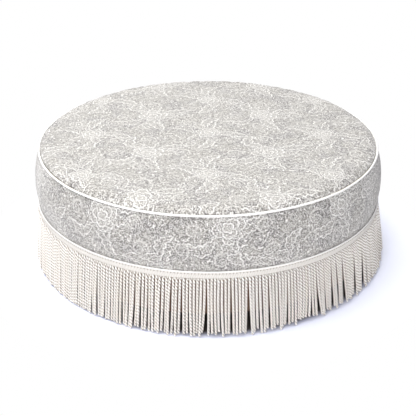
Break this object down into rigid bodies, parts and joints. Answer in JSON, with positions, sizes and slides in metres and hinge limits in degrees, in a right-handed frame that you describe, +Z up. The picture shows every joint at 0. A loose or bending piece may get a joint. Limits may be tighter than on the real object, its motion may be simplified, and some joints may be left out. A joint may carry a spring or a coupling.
{
  "type": "tuffet",
  "caption": "Low round upholstered tuffet with a gently crowned piped seat, a padded side band and a long skirt of twisted cord fringe down to the floor.",
  "frame": {"origin": "on the floor under the middle of the seat", "axes": "+Z up, -Y towards the side that faces the viewer, +X to that viewer's right"},
  "size_m": [0.9298, 0.9298, 0.32],
  "materials": {
    "plywood": "satin",
    "pine": "matte",
    "hardboard": "matte",
    "jute_webbing": "matte",
    "hessian": "matte",
    "foam": "matte",
    "wadding": "matte",
    "jacquard_cloth": "satin",
    "piping_cloth": "matte",
    "cotton_cord": "matte",
    "woven_braid": "matte",
    "fringe_yarn": "matte",
    "dust_cloth": "matte",
    "felt": "matte",
    "zinc_steel": "satin",
    "foot_wood": "satin"
  },
  "bodies": {
    "root": {"base_ring": "plywood", "crown_wadding": "wadding", "drum_skin": "hardboard", "dust_cover": "dust_cloth", "foot_1": "foot_wood", "foot_2": "foot_wood", "foot_3": "foot_wood", "foot_4": "foot_wood", "foot_pad_1": "felt", "foot_pad_2": "felt", "foot_pad_3": "felt", "foot_pad_4": "felt", "foot_screws": "zinc_steel", "fringe_cords": "fringe_yarn", "fringe_heading": "woven_braid", "piping_core": "cotton_cord", "piping_wrap": "piping_cloth", "platform_hessian": "hessian", "post_1": "pine", "post_2": "pine", "post_3": "pine", "post_4": "pine", "post_5": "pine", "post_6": "pine", "post_7": "pine", "post_8": "pine", "rail_across": "pine", "rail_along": "pine", "seat_foam": "foam", "side_band_1": "jacquard_cloth", "side_band_2": "jacquard_cloth", "side_padding": "foam", "strap_across_1": "jute_webbing", "strap_across_2": "jute_webbing", "strap_across_3": "jute_webbing", "strap_across_4": "jute_webbing", "strap_across_5": "jute_webbing", "strap_along_1": "jute_webbing", "strap_along_2": "jute_webbing", "strap_along_3": "jute_webbing", "strap_along_4": "jute_webbing", "strap_along_5": "jute_webbing", "top_cover": "jacquard_cloth", "top_ring": "plywood"}
  },
  "joints": []
}
